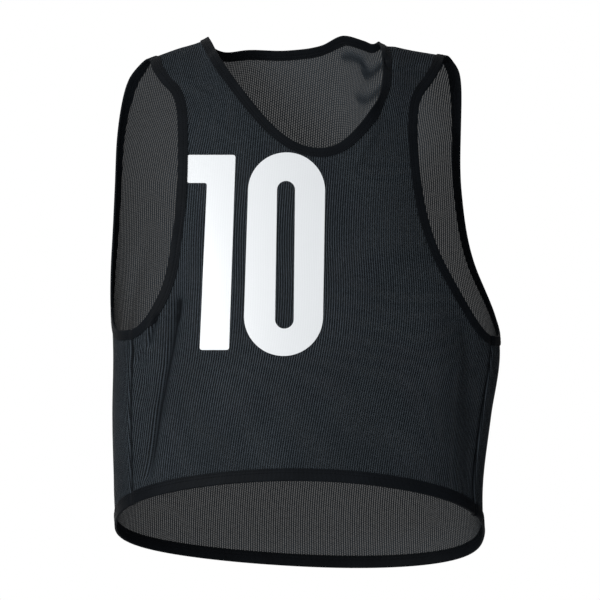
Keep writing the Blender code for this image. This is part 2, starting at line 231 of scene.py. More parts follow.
# Finer creases of the cloth alone; a negative depth is a ridge, and the last column, where a row has
# it, is how far the knit is squeezed together in the crease and darkened there with painted shade
CREASES = table(
    "top_turn top_down foot_turn foot_down depth half_width bunched",
    (-37.5, 0.265, -42.0, 0.395, 0.003, 0.005, 0.5),
    (-41.2, 0.375, -54.0, 0.582, 0.004, 0.007),
    (-41.2, 0.375, -54.0, 0.582, 0.0055, 0.0032, 1.0),
    (-35.5, 0.37, -48.0, 0.575, -0.003, 0.009),
    (-49.5, 0.392, -53.5, 0.428, 0.004, 0.0024, 0.8),
    (-53.0, 0.402, -57.0, 0.446, -0.0022, 0.004),
    (-56.5, 0.428, -60.5, 0.446, 0.003, 0.0022, 0.8),
    (-56.0, 0.47, -58.5, 0.56, 0.0022, 0.006),
    (-26.0, 0.42, -36.0, 0.58, 0.0012, 0.012),
    (-15.0, 0.52, -22.0, 0.585, 0.001, 0.012),
    (20.0, 0.5, 27.0, 0.59, 0.0012, 0.013),
    (34.0, 0.38, 45.0, 0.56, -0.0018, 0.013),
    (47.0, 0.4, 52.0, 0.5, 0.0024, 0.007),
    (23.0, 0.016, 30.0, 0.062, 0.0024, 0.003, 0.4),
    (29.0, 0.014, 24.0, 0.08, -0.0014, 0.0045),
    (27.0, 0.06, 20.0, 0.13, 0.0014, 0.006),
    (-33.0, 0.015, -30.0, 0.05, 0.002, 0.003, 0.4),
    (-38.0, 0.014, -42.0, 0.06, 0.0013, 0.004),
    (-27.0, 0.06, -23.0, 0.115, -0.0016, 0.006),
    (-30.0, 0.03, -33.0, 0.12, 0.0012, 0.009),
    (40.0, 0.06, 32.0, 0.17, 0.0012, 0.01),
    (-34.8, 0.095, -27.7, 0.121, -0.002, 0.0024),
    (-27.3, 0.157, -20.8, 0.182, -0.0018, 0.0024),
    (40.6, 0.042, 30.2, 0.068, 0.0024, 0.0024, 0.4),
    (22.8, 0.178, 17.4, 0.206, -0.0016, 0.003),
    (155.2, 0.052, 162.3, 0.083, 0.0028, 0.0024, 0.7),
    (151.0, 0.032, 155.9, 0.069, 0.0026, 0.0022, 0.7),
    (148.9, 0.059, 156.8, 0.105, 0.0026, 0.0022, 0.6),
    (108.0, 0.42, 97.0, 0.56, 0.0026, 0.008),
    (252.0, 0.425, 263.0, 0.57, 0.0026, 0.008),
    (132.0, 0.3, 118.0, 0.4, 0.002, 0.008),
    (229.0, 0.29, 242.0, 0.4, 0.002, 0.008),
    (170.0, 0.42, 163.0, 0.6, 0.0022, 0.012),
    (196.0, 0.46, 201.0, 0.6, 0.0022, 0.011),
    (148.0, 0.35, 124.0, 0.58, 0.0034, 0.007),
    (216.0, 0.345, 242.0, 0.57, 0.0034, 0.007),
    (160.0, 0.095, 148.0, 0.2, 0.0016, 0.009),
    (203.0, 0.095, 216.0, 0.21, 0.0016, 0.009),
)

# The sewn seams pull the cloth in a little
SEAM_DEPTH = 0.0034
SEAM_HALF_WIDTH = 0.0019

# Rows of the net beside a sharp crease, in its half widths, and how close their points may come
CREASE_ROWS = [-2.4, -1.6, -0.8, 0.0, 0.8, 1.6, 2.4]
CREASE_SHARP = 0.0055
CREASE_STEP = 0.0030
ROW_CLEARANCE = 0.0011

# Length of cloth that goes over the shoulder before it hangs straight down
SHOULDER_TAKE_UP = 0.040
HEIGHT_CORRECTIONS = 6
PLACE_CORRECTIONS = 12

# Spacing of the net that the panels are drawn on, and of the stations along their edges
NET = 0.0036
STATION_LENGTH = 0.0030
STATION_TURN = math.radians(10)
END_TURN = 0.024
SEAM_ROWS = [0.0012, 0.0026, 0.0046]
SEAM_INSET = 0.0005
SIDE_STATIONS = 60
SHOULDER_STATIONS = 40
FLAT_RADIUS = 0.190
NET_SHARE = 0.45
ROW_CLEAR_OF_EDGE = 0.00085
SLIVER = 0.00002
EDGE_POINTS = 600
HEM_POINTS = 400
SLOPE_STEP = 0.0001
TANGENT_STEP = 0.0005
SHARP_ANGLE = math.radians(50)
POINTS_AT_ONCE = 1500

# The number, as seen from the camera: metres right of and above the point it looks at
ONE = [
    (-0.1368, 0.1740),
    (-0.0786, 0.1740),
    (-0.0864, -0.0600),
    (-0.1217, -0.0600),
    (-0.1128, 0.1404),
    (-0.1368, 0.1404),
]
ONE_CORNER = 0.0034
# Middle and radius of the round ends of the 0, where the lower ones' radii are negative
ZERO_OUTER = ((-0.0174, 0.1308, 0.0462), (-0.0210, -0.0198, -0.0474))
ZERO_INNER = ((-0.0180, 0.1320, 0.0108), (-0.0200, -0.0232, -0.0112))
NUMBER_NET = 0.0045

# Mesh cloth: the distance between holes across and down, where every other column is half a step
# lower, their size, how much yarn crosses them, and how uneven they and the knit are
HOLE_ACROSS = 0.0056
HOLE_DOWN = 0.0022
HOLE_RADIUS = 0.00084
HOLE_SOFTNESS = 0.00026
HOLE_VEIL = 0.69
HOLE_SQUAT = 0.8
HOLE_UNEVEN = 0.00007
COLUMN = HOLE_ACROSS / 2
KNIT_WANDER = 0.00025

# Colours from the hollows, darker with painted shade, to the crests of each material, and the mesh's
# painted shade where its knit is squeezed together
MESH_COLOURS = ((0.0095, 0.0118, 0.0141, 1), (0.0705, 0.087, 0.106, 1))
PAINTED_SHADE_COLOUR = (0.0012, 0.0015, 0.002, 1)
PAINTED_SHADE_SHARE = 0.9
TAPE_COLOURS = ((0.0018, 0.0024, 0.0032, 1), (0.013, 0.0165, 0.022, 1))
THREAD_COLOURS = ((0.0015, 0.0017, 0.0020, 1), (0.006, 0.007, 0.009, 1))
FILM_COLOURS = ((0.67, 0.695, 0.725, 1), (0.715, 0.745, 0.775, 1))

# Turn of the knit on each panel, which hangs a little askew
KNIT_TURN = {True: math.radians(-7.5), False: math.radians(4.0)}

# Where the distances across the cloth are measured for the knit
MAP_TURN = math.pi / 1.4
MAP_STATIONS = 481
MAP_DOWNS = [0.0, 0.02, 0.05, 0.09, 0.14, 0.20, 0.30, 0.45, 0.70]


def through(rows, key, column, at):
    """Smooth curve through a table's rows, read at the given places."""
    places, values = (np.array([row[name] for row in rows]) for name in (key, column))
    slopes = np.gradient(values, places)
    at = np.clip(np.asarray(at, float), places[0], places[-1])
    i = np.clip(np.searchsorted(places, at) - 1, 0, len(places) - 2)
    span = places[i + 1] - places[i]
    t = (at - places[i]) / span
    return (
        (1 + 2 * t) * (1 - t) ** 2 * values[i]
        + t * (1 - t) ** 2 * span * slopes[i]
        + t**2 * (3 - 2 * t) * values[i + 1]
        + t**2 * (t - 1) * span * slopes[i + 1]
    )


def smooth_step(t):
    t = np.clip(t, 0.0, 1.0)
    return t * t * (3 - 2 * t)


def torso(around, down):
    """The torso's surface without folds; a negative down crosses the shoulder ridge."""
    sine = np.sin(around)
    cosine = np.where(np.asarray(down) < 0, -1, 1) * np.cos(around)
    down = np.abs(down)
    rounding = (np.abs(sine) ** SQUARENESS + np.abs(cosine) ** SQUARENESS) ** (-1 / SQUARENESS)
    x = through(TORSO, "down", "half_width", down) * rounding * sine
    reach = np.where(cosine > 0, FRONT_REACH, BACK_REACH)
    steepness = np.sqrt(1 - np.exp(-2 * down / reach))
    drop = reach * (np.arctanh(steepness) - steepness)
    y = -reach * (1 - np.exp(-down / reach)) * rounding * cosine
    fade = 1 - smooth_step((down - RIDGE_FADE_START) / (RIDGE_FADE_END - RIDGE_FADE_START))
    z = through(RIDGE, "across", "height", x) * fade - drop
    x = x + through(TORSO, "down", "sway", down)
    return np.stack([x, y, z], -1)


def flat(around, down):
    """Rough flat place of a point, for distances across folds and for the net."""
    return np.stack([np.asarray(around, float) * FLAT_RADIUS, np.asarray(down, float)], -1)


def sunk_by(folds, around, down):
    """How far a list of folds sinks the cloth inwards, the same from either panel's angles."""
    sunk = np.zeros(np.broadcast(around, down).shape)
    for fold in folds:
        start, end = math.radians(fold["top_turn"]), math.radians(fold["foot_turn"])
        turned = start + (np.asarray(around) - start + math.pi) % math.tau - math.pi
        here = flat(turned, down)
        top, foot = flat(start, fold["top_down"]), flat(end, fold["foot_down"])
        run = foot - top
        along = (here - top) @ run / (run @ run)
        aside = here - top - np.clip(along, 0, 1)[..., None] * run
        near = np.exp(-((aside**2).sum(-1)) / (2 * fold["half_width"] ** 2))
        from_top = smooth_step(along * FOLD_TOP_FADE + FOLD_END_STRENGTH)
        from_foot = smooth_step((1 - along) * FOLD_FOOT_FADE + FOLD_END_STRENGTH)
        sunk += fold["depth"] * near * from_top * from_foot
    return sunk


def seam_pull(around, down):
    """The grooves along the side and shoulder seams."""
    turned = np.abs((around + math.pi) % math.tau - math.pi)
    side = (turned - math.radians(SIDE_SEAM)) * RADIUS_AT_SIDE_SEAM
    forward = np.where(np.cos(around) > 0, 1, -1) * np.asarray(down, float)
    shoulder = forward - SHOULDER_SEAM_FORWARD
    pulled = np.exp(-((side / SEAM_HALF_WIDTH) ** 2)) * (np.abs(down) > FRONT_NECK_DOWN)
    return SEAM_DEPTH * (pulled + np.exp(-((shoulder / SEAM_HALF_WIDTH) ** 2)))


def bunched(around, down):
    """How far the knit is squeezed together and darkened with painted shade, from 0 to 1: along
    seams and at the foot of creases.
    """
    pressed_and_shaded = [{**crease, "depth": crease["bunched"]} for crease in CREASES if "bunched" in crease]
    seams = 2 * seam_pull(around, down) / SEAM_DEPTH
    return np.clip(seams + sunk_by(pressed_and_shaded, around, down), 0.0, 1.0)


def slopes_of(surface, around, down):
    """The surface's two slopes at a point, by small steps."""
    step = SLOPE_STEP
    d_around = (surface(around + step, down) - surface(around - step, down)) / (2 * step)
    d_down = (surface(around, down + step) - surface(around, down - step)) / (2 * step)
    return d_around, d_down


def unit(vectors):
    return vectors / np.linalg.norm(vectors, axis=-1, keepdims=True)


def measured(points):
    """Length along a line of points, up to each of them."""
    return np.concatenate([[0], np.cumsum(np.linalg.norm(np.diff(points, axis=0), axis=1))])


def read_at(at, places, rows):
    """Rows read between the places that they stand at."""
    return np.stack([np.interp(at, places, column) for column in rows.T], 1)


def body(around, down):
    """Middle surface of the cloth: the torso's form with folds, creases and seams sunk in."""
    around, down = np.asarray(around, float), np.asarray(down, float)
    d_around, d_down = slopes_of(torso, around, down)
    inward = unit(np.cross(d_around, d_down))
    sunk = sunk_by(FOLDS, around, down) + sunk_by(CREASES, around, down) + seam_pull(around, down)
    return torso(around, down) + inward * sunk[..., None]


def outward(around, down):
    """Unit normals that point out of the bib."""
    d_around, d_down = slopes_of(body, around, down)
    return -unit(np.cross(d_around, d_down))


def around_at(across, down):
    """Angle on the front half where the torso reaches a distance across, at a length down."""
    ratio = np.clip(np.abs(across) / through(TORSO, "down", "half_width", np.abs(down)), 0, 0.999)
    power = ratio**SQUARENESS
    return np.sign(across) * np.arctan((power / (1 - power)) ** (1 / SQUARENESS))


def down_at(around, height):
    """Length down the cloth at a height, well below the ridge, by a few corrections."""
    down = SHOULDER_TAKE_UP - np.asarray(height, float)
    for _ in range(HEIGHT_CORRECTIONS):
        down = down + (torso(around, down)[..., 2] - height)
    return down


def spaced(around, down):
    """Stations along a fine line, at most so far apart and closer where it turns."""
    points = torso(around, down)
    steps = np.linalg.norm(np.diff(points, axis=0), axis=1)
    tangents = unit(np.gradient(points, axis=0))
    turns = np.linalg.norm(np.diff(tangents, axis=0), axis=1)
    measure = np.concatenate([[0], np.cumsum(steps / STATION_LENGTH + turns / STATION_TURN)])
    at = np.linspace(0, measure[-1], max(3, round(measure[-1])) + 1)
    return read_at(at, measure, np.stack([around, down], 1))


def bound_edge(line, first, last):
    """An edge's stations, each with the step in (around, down) that goes one metre into the cloth.

    first and last are the ways that the steps at the two ends take, along the seams there.
    """
    around, down = line.T
    d_around, d_down = slopes_of(torso, around, down)
    tangent = unit(np.gradient(torso(around, down), axis=0))
    inward = unit(np.cross(np.cross(d_around, d_down), tangent))
    aa = (d_around * d_around).sum(-1)
    ad = (d_around * d_down).sum(-1)
    dd = (d_down * d_down).sum(-1)
    a = (d_around * inward).sum(-1)
    d = (d_down * inward).sum(-1)
    steps = np.stack([a * dd - d * ad, d * aa - a * ad], 1) / (aa * dd - ad * ad)[:, None]
    steps *= np.sign(steps[0] @ np.array(first))
    length = measured(torso(around, down))
    for end, way, away in ((0, first, length), (-1, last, length[-1] - length)):
        travel = d_around[end] * way[0] + d_down[end] * way[1]
        share = 1 - smooth_step(away / END_TURN)[:, None]
        steps = steps * (1 - share) + share * np.array(way) / np.linalg.norm(travel)
    return {"line": line, "steps": steps}


def inset(edge, distance):
    """The edge's stations moved into the cloth."""
    return edge["line"] + edge["steps"] * distance


def armhole_edge(front, side):
    """One panel's armhole edge, from the shoulder seam down to the side seam; side is 1 or -1."""
    stops = FRONT_ARMHOLE if front else BACK_ARMHOLE
    rows = [{"row": i, **stop} for i, stop in enumerate(stops)]
    fine = np.linspace(0, len(stops) - 1, EDGE_POINTS)
    around = np.radians(through(rows, "row", "around", fine))
    down = through(rows, "row", "down", fine)
    line = spaced(around, down)
    toward_middle = -1 if front else 1
    if side < 0:
        line[:, 0] = -line[:, 0] if front else math.tau - line[:, 0]
        toward_middle = -toward_middle
    return bound_edge(line, (toward_middle, 0), (0, 1))


def neck_edge(front):
    """One panel's neck edge, from its left shoulder to its right one."""
    turn = np.linspace(0, math.pi, EDGE_POINTS)
    middle = (NECK_LEFT + NECK_RIGHT) / 2
    half = (NECK_RIGHT - NECK_LEFT) / 2
    if front:
        edge, deepest = FRONT_SHOULDER_EDGE, FRONT_NECK_DOWN
        fullness, pull = NECK_FULLNESS, NECK_PULL
    else:
        edge, deepest = BACK_SHOULDER_EDGE, BACK_NECK_DOWN
        fullness, pull = 1.0, 0.0
    sink = np.sin(turn) ** fullness
    down = edge + (deepest - edge) * sink
    around = around_at(middle - half * np.cos(turn) + pull * sink, down)
    if front:
        return bound_edge(spaced(around, down), (-1, 0), (1, 0))
    return bound_edge(spaced(math.pi - around, down), (1, 0), (-1, 0))


def hem_edge(front):
    """One panel's hem, from one side seam to the other."""
    seam = math.radians(SIDE_SEAM)
    start, end = (-seam, seam) if front else (seam, math.tau - seam)
    around = np.linspace(start + SEAM_HALF_TURN, end - SEAM_HALF_TURN, HEM_POINTS)
    height = HEM_MEAN + HEM_FRONT_RISE * np.cos(around) + HEM_SIDE_DIP * np.cos(2 * around)
    height += HEM_BACK_TILT * np.sin(2 * around) - HEM_TILT * np.sin(around)
    return bound_edge(spaced(around, down_at(around, height)), (0, -1), (0, -1))


def between(start, end):
    """Points along a seam between the bindings that end on it, without its two ends."""
    length = np.linalg.norm(body(*start) - body(*end))
    count = max(2, round(length / NET))
    return np.linspace(start, end, count + 1)[1:-1]


def in_parts(test, points, outline):
    """A test of many points against an outline, a part of them at a time."""
    parts = [points[i : i + POINTS_AT_ONCE] for i in range(0, len(points), POINTS_AT_ONCE)]
    return np.concatenate([test(part, outline) for part in parts])


def inside(points, outline):
    """Which flat points lie inside a closed outline."""
    a = outline
    run = np.roll(outline, -1, axis=0) - a
    p = points[:, None]
    crosses = (a[:, 1] > p[..., 1]) != (a[:, 1] + run[:, 1] > p[..., 1])
    reach = a[:, 0] + (p[..., 1] - a[:, 1]) * run[:, 0] / np.where(run[:, 1] == 0, 1, run[:, 1])
    return (crosses & (p[..., 0] < reach)).sum(1) % 2 == 1


def clear_of(points, outline):
    """Distance of flat points from a closed outline."""
    run = np.roll(outline, -1, axis=0) - outline
    p = points[:, None]
    t = np.clip(((p - outline) * run).sum(-1) / np.maximum((run * run).sum(-1), 1e-18), 0, 1)
    return np.linalg.norm(p - outline - t[..., None] * run, axis=-1).min(1)


def well_inside(points, outline, clearance):
    """Which flat points lie inside a closed outline and clear of it."""
    return in_parts(inside, points, outline) & (in_parts(clear_of, points, outline) > clearance)


def filling(outline, spacing):
    """Places for a net inside an outline, in rows that are offset by half a step."""
    low, high = outline.min(0), outline.max(0)
    rows = np.arange(low[1], high[1], spacing * math.sqrt(3) / 2)
    columns = np.arange(low[0], high[0], spacing)
    grid = np.array([(x + (k % 2) * spacing / 2, y) for k, y in enumerate(rows) for x in columns])
    return grid[well_inside(grid, outline, spacing * NET_SHARE)]


def triangulated(outlines, extra, keep_inside):
    """Triangles of a net within closed outlines; keep_inside picks them by their middles."""
    points, bounds = [], []
    for outline in outlines:
        first = len(points)
        points += [tuple(p) for p in outline]
        bounds += [(first + i, first + (i + 1) % len(outline)) for i in range(len(outline))]
    net = np.array(points + [tuple(p) for p in extra])
    made = delaunay_2d_cdt([tuple(p) for p in net], bounds, [], 0, 1e-8, True)
    source = [ids[0] for ids in made[3]]
    triangles = np.array([[source[i] for i in face] for face in made[2]])
    return triangles[keep_inside(net[triangles].mean(1))]


def seam_rows(front, outline):
    """Extra places beside the side seams and the shoulder seams, where the cloth is pulled in."""
    seam = math.radians(SIDE_SEAM) * FLAT_RADIUS
    scale = FLAT_RADIUS / RADIUS_AT_SIDE_SEAM
    low, high = outline.min(0), outline.max(0)
    sides = ((seam, -1), (-seam, 1)) if front else ((seam, 1), (math.tau * FLAT_RADIUS - seam, -1))
    shoulder = FRONT_SHOULDER_EDGE if front else BACK_SHOULDER_EDGE
    rows = []
    for distance in SEAM_ROWS:
        for place, way in sides:
            downs = np.arange(SIDE_SEAM_TOP, high[1], NET)
            rows += [(place + way * distance * scale, down) for down in downs]
        rows += [(a, shoulder + distance) for a in np.arange(low[0], high[0], NET)]
    rows = np.array(rows)
    return rows[well_inside(rows, outline, ROW_CLEAR_OF_EDGE)]


def crease_rows(front, outline, taken):
    """Extra places along the sharp creases, clear of each other and of the places already taken."""
    rows = []
    for crease in CREASES:
        turns = np.array([crease["top_turn"], crease["foot_turn"]])
        on_panel = (np.abs(turns) < SIDE_SEAM).all() == front
        if crease["half_width"] > CREASE_SHARP or not on_panel:
            continue
        top, foot = flat(np.radians(turns), [crease["top_down"], crease["foot_down"]])
        run = foot - top
        aside = np.array([-run[1], run[0]]) / np.linalg.norm(run)
        shares = np.linspace(0, 1, round(np.linalg.norm(run) / CREASE_STEP) + 1)
        for offset in CREASE_ROWS:
            rows += [top + run * share + aside * offset * crease["half_width"] for share in shares]
    kept = list(taken)
    for place in rows:
        if np.hypot(*(np.array(kept) - place).T).min() > ROW_CLEARANCE:
            kept.append(place)
    added = np.array(kept[len(taken) :])
    return added[well_inside(added, outline, ROW_CLEAR_OF_EDGE)]


def panel_net(edges, front):
    """A panel's points in (around, down) and its triangles.

    The cloth under each binding is a strip of its own, on the binding's stations.
    """
    names = ("hem", "right", "neck", "left") if front else ("hem", "left", "neck", "right")
    forward = {"hem": True, names[1]: False, "neck": not front, names[3]: True}
    inner = {}
    for name in names:
        width = HEM_BINDING_WIDTH if name == "hem" else BINDING_WIDTH
        inner[name] = inset(edges[name], width)[:: 1 if forward[name] else -1]
    loop = []
    for name, following in zip(names, names[1:] + names[:1]):
        loop += [(name, inner[name]), ("", between(inner[name][-1], inner[following][0]))]
    scale = np.array([FLAT_RADIUS, 1.0])
    outline = np.concatenate([stretch for _, stretch in loop]) * scale
    beside = seam_rows(front, outline)
    beside = np.concatenate([beside, crease_rows(front, outline, beside)])
    net = filling(outline, NET)
    away = np.array([np.abs(beside - p).max(1).min() > NET * NET_SHARE for p in net])
    extra = np.concatenate([net[away], beside])
    triangles = [*triangulated([outline], extra, lambda p: well_inside(p, outline, SLIVER))]
    points = np.concatenate([outline, extra]) / scale

    place = 0
    for name, stretch in loop:
        if name:
            ids = np.arange(place, place + len(stretch))
            ids = ids if forward[name] else ids[::-1]
            rim = inset(edges[name], CLOTH_IN_TAPE)
            outer = np.arange(len(points), len(points) + len(rim))
            points = np.concatenate([points, rim])
            for k in range(len(ids) - 1):
                strip = [(outer[k], outer[k + 1], ids[k + 1]), (outer[k], ids[k + 1], ids[k])]
                triangles += [t[::-1] for t in strip] if forward[name] else strip
        place += len(stretch)
    return points, np.array(triangles)


def cloth_map(points, front):
    """Places on the knitted cloth in metres: across from the panel's middle, and down."""
    middle = 0.0 if front else math.pi
    turns = np.linspace(-MAP_TURN, MAP_TURN, MAP_STATIONS)
    downs = np.array(MAP_DOWNS)
    length = np.stack([measured(torso(middle + turns, np.full_like(turns, d))) for d in downs], 1)
    length -= length[len(turns) // 2]
    around, down = points.T
    rows = read_at(around - middle, turns, length)
    place = np.interp(np.abs(down), downs, np.arange(len(downs)))
    k = np.minimum(place.astype(int), len(downs) - 2)
    share = place - k
    at = np.arange(len(points))
    across = rows[at, k] * (1 - share) + rows[at, k + 1] * share
    cosine, sine = math.cos(KNIT_TURN[front]), math.sin(KNIT_TURN[front])
    return np.stack([across * cosine - down * sine, across * sine + down * cosine], 1)


def shell(points, triangles, low, high):
    """A closed skin between two heights above the cloth's middle surface, as vertices and faces."""
    middle, normal = body(*points.T), outward(*points.T)
    count = len(points)
    vertices = np.concatenate([middle + normal * high, middle + normal * low])
    directed = {(a, b) for t in triangles for a, b in ((t[0], t[1]), (t[1], t[2]), (t[2], t[0]))}
    rim = sorted((a, b) for a, b in directed if (b, a) not in directed)
    faces = [tuple(t) for t in triangles]
    faces += [(c + count, b + count, a + count) for a, b, c in triangles]
    faces += [(b, a, a + count, b + count) for a, b in rim]
    return vertices, faces


def tape_section(width):
    """The folded tape's section as (into the cloth, lift), round at the fold, dented by sewing."""
    half, ply = TAPE_HALF, TAPE_PLY
    face = []
    for into in np.linspace(width - 0.0002, half, 17):
        away = [(into - (width - row)) / SEWING_DENT_WIDTH for row in SEWING_ROWS]
        face.append((into, half - SEWING_DENT * sum(math.exp(-(a**2)) for a in away)))
    edge = [(width, half - 0.0006), (width + 0.0001, half - 0.0003)]
    turns = np.linspace(math.pi / 2, 0, 6)[1:]
    bend = [(half - half * math.cos(turn), half * math.sin(turn)) for turn in turns]
    top = edge + face + bend
    outer = top + [(into, -lift) for into, lift in top[-2::-1]]
    gap = half - ply
    inner = [(width - 0.0003, -gap), (half, -gap), (ply, 0.0), (half, gap), (width - 0.0003, gap)]
    return outer + inner


def lifted(points, lift):
    """Places at a lift above points of the cloth's middle surface."""
    return body(*points.T) + outward(*points.T) * lift


def tape_profiles(edge, width):
    """The tape's section at each station of an edge."""
    return np.stack([lifted(inset(edge, into), lift) for into, lift in tape_section(width)], 1)


def tape_solid(profiles, closed):
    """The tape's skin through its sections; an open tape gets an end cap at each end."""
    stations, sides = profiles.shape[:2]
    faces = []
    for k in range(stations if closed else stations - 1):
        here, there = k * sides, (k + 1) % stations * sides
        for p in range(sides):
            q = (p + 1) % sides
            faces.append((here + p, here + q, there + q, there + p))
    if not closed:
        faces.append(tuple(range(sides - 1, -1, -1)))
        faces.append(tuple((stations - 1) * sides + p for p in range(sides)))
    return profiles.reshape(-1, 3), faces


def ring(front, back):
    """Stations round an opening, along one panel's edge and back along the other's."""
    start, turn = (front[0] + back[0]) / 2, (front[-1] + back[-1]) / 2
    return np.concatenate([[start], front[1:-1], [turn], back[-2:0:-1]])


def tape_map(profiles, width, closed):
    """Places on the tape in metres, corner by corner of each face: along it and across it."""
    stations, sides = profiles.shape[:2]
    middle = profiles[:, sides // 3]
    along = measured(np.concatenate([middle, middle[:1]]))
    section = np.array(tape_section(width))
    across = measured(section)
    across = np.append(across, across[-1] + TAPE_PLY)
    corners = []
    for k in range(stations if closed else stations - 1):
        for p in range(sides):
            corners += [(along[k + i], across[p + j]) for i, j in ((0, 0), (0, 1), (1, 1), (1, 0))]
    return corners if closed else [*corners, *section[::-1], *section]


def stitches(line, closed):
    """Stitches along rows of position and normal: short threads that dive in at both ends."""
    if closed:
        line = np.concatenate([line, line[:1]])
    length = measured(line[:, :3])
    count = max(2, round(length[-1] / STITCH_PITCH))
    at = (np.arange(count) + 0.5) * length[-1] / count
    places, normals = np.split(read_at(at, length, line), 2, axis=1)
    ahead = read_at(at + TANGENT_STEP, length, line[:, :3])
    behind = read_at(at - TANGENT_STEP, length, line[:, :3])
    along, lift, size = (column[:, None] for column in STITCH_RINGS.T)
    turn = (np.arange(STITCH_SIDES) * math.tau / STITCH_SIDES)[None, :, None]
    parts = []
    for place, normal, tangent in zip(places, unit(normals), unit(ahead - behind)):
        middle = place + tangent * along * STITCH_LENGTH + normal * lift * STITCH_RADIUS
        spokes = np.cos(turn) * normal + np.sin(turn) * np.cross(tangent, normal)
        rings = middle[:, None] + spokes * size[:, None] * STITCH_RADIUS
        parts.append(tape_solid(rings, False))
    return joined(parts)


def tube(path, radius):
    """A thread along a path of points."""
    tangents = unit(np.gradient(path, axis=0))
    first = unit(np.cross(tangents, THREAD_UPWARD))
    second = np.cross(tangents, first)
    turn = (np.arange(THREAD_SIDES) * math.tau / THREAD_SIDES)[None, :, None]
    rings = path[:, None] + radius * (np.cos(turn) * first[:, None] + np.sin(turn) * second[:, None])
    return tape_solid(rings, False)


def joined(parts):
    """Several (vertices, faces) as one."""
    vertices, faces = [], []
    for some_vertices, some_faces in parts:
        base = len(vertices)
        vertices += list(some_vertices)
        faces += [tuple(i + base for i in face) for face in some_faces]
    return vertices, faces


def edge_line(edge, into, lift):
    """Rows of position and normal along an edge, so far into the cloth and so far above it."""
    points = inset(edge, into).T
    normal = outward(*points) * np.sign(lift)
    return np.concatenate([body(*points) + normal * abs(lift), normal], 1)


def tape_stitches(width, edges, closed):
    """Two rows of stitches on each face of a binding."""
    parts = []
    for row in SEWING_ROWS:
        for lift in (TAPE_HALF - STITCH_SUNK, -TAPE_HALF + STITCH_SUNK):
            lines = [edge_line(edge, width - row, lift) for edge in edges]
            parts.append(stitches(ring(*lines) if closed else lines[0], closed))
    return joined(parts)


def seam_allowance(line, away):
    """An overlocked seam inside the bib: its narrow flap and the thread round the flap's edge.

    line is the seam in (around, down), and away the step per metre towards the back.
    """
    lift, thick = ALLOWANCE_LIFT, ALLOWANCE_THICKNESS
    section = [(0.0, lift), (ALLOWANCE * 0.9, lift), (ALLOWANCE, lift - thick / 2)]
    section += [(ALLOWANCE * 0.9, lift - thick), (0.0, lift - thick * 0.9)]
    profiles = [lifted(line + away * across, height) for across, height in section]
    flap = tape_solid(np.stack(profiles, 1), False)

    count = round(measured(body(*line.T))[-1] / OVERLOCK_BEAT)
    share = (np.arange(count) + 0.5) / count
    beat = np.arange(count) % 4
    far = ALLOWANCE + 0.0002
    across = np.choose(beat, [0.0008, far, far, 0.0008])
    height = lift + np.choose(beat, [-thick - 0.0002, -thick * 0.8, -0.0002, -thick - 0.0002])
    path = read_at(share, np.linspace(0, 1, len(line)), line) + away * across[:, None]
    return flap, tube(lifted(path, height[:, None]), OVERLOCK_RADIUS)


def camera_axes():
    a, e = VIEW_AZIMUTH, VIEW_ELEVATION
    back = np.array([math.sin(a) * math.cos(e), -math.cos(a) * math.cos(e), math.sin(e)])
    right = np.array([math.cos(a), math.sin(a), 0.0])
    return back, right, np.cross(back, right)


def seen(around, down):
    """Where the camera sees a point of the cloth, in metres right of and above its target."""
    back, right, up = camera_axes()
    q = body(around, down) - VIEW_TARGET
    scale = VIEW_DISTANCE / (VIEW_DISTANCE - q @ back)
    return np.stack([(q @ right) * scale, (q @ up) * scale], -1)


def on_front(places):
    """The (around, down) of the front cloth that the camera sees at the given places."""
    places = np.asarray(places, float)
    across = places[:, 0]
    down = SHOULDER_TAKE_UP - VIEW_TARGET[2] - places[:, 1]
    around = around_at(across, down)
    step = TANGENT_STEP
    for _ in range(PLACE_CORRECTIONS):
        here = seen(around, down)
        by_around = (seen(around + step, down) - here) / step
        by_down = (seen(around, down + step) - here) / step
        miss = places - here
        spread = by_around[:, 0] * by_down[:, 1] - by_around[:, 1] * by_down[:, 0]
        around = around + (miss[:, 0] * by_down[:, 1] - miss[:, 1] * by_down[:, 0]) / spread
        down = down + (by_around[:, 0] * miss[:, 1] - by_around[:, 1] * miss[:, 0]) / spread
    return np.stack([around, down], 1)


def rounded_outline(corners, radius):
    """A polygon with round corners and evenly spaced points."""
    outline = []
    corners = np.array(corners)
    for before, corner, after in zip(np.roll(corners, 1, 0), corners, np.roll(corners, -1, 0)):
        start = corner + unit(before - corner) * radius
        end = corner + unit(after - corner) * radius
        for t in np.linspace(0, 1, 6):
            outline.append((1 - t) ** 2 * start + 2 * t * (1 - t) * corner + t**2 * end)
    return evenly(np.array(outline), NUMBER_NET / 2)


def capsule_outline(ends):
    """The outline of an upright capsule, from its two round ends."""
    turn = np.linspace(0, math.pi, 40)
    arc = np.stack([np.cos(turn), np.sin(turn)], 1)
    return evenly(np.concatenate([(x, y) + radius * arc for x, y, radius in ends]), NUMBER_NET / 2)


def evenly(outline, spacing):
    """A closed outline with a point at least at every spacing."""
    points = []
    for start, end in zip(outline, np.roll(outline, -1, axis=0)):
        count = max(1, math.ceil(np.linalg.norm(end - start) / spacing))
        points += [start + (end - start) * k / count for k in range(count)]
    return np.array(points)


def digit(outer, *holes):
    """A digit's film: its net as the camera sees it, laid on the front cloth."""

    def within(points):
        kept = in_parts(inside, points, outer)
        for hole in holes:
            kept &= ~in_parts(inside, points, hole)
        return kept

    extra = filling(outer, NUMBER_NET)
    extra = extra[within(extra)]
    for hole in holes:
        extra = extra[in_parts(clear_of, extra, hole) > NUMBER_NET * NET_SHARE]
    triangles = triangulated([outer, *holes], extra, within)
    return on_front(np.concatenate([outer, *holes, extra])), triangles


def new_material(name, roughness):
    material = bpy.data.materials.new(name)
    material.use_nodes = True
    shader = material.node_tree.nodes["Principled BSDF"]
    shader.inputs["Roughness"].default_value = roughness
    return material, shader, material.node_tree


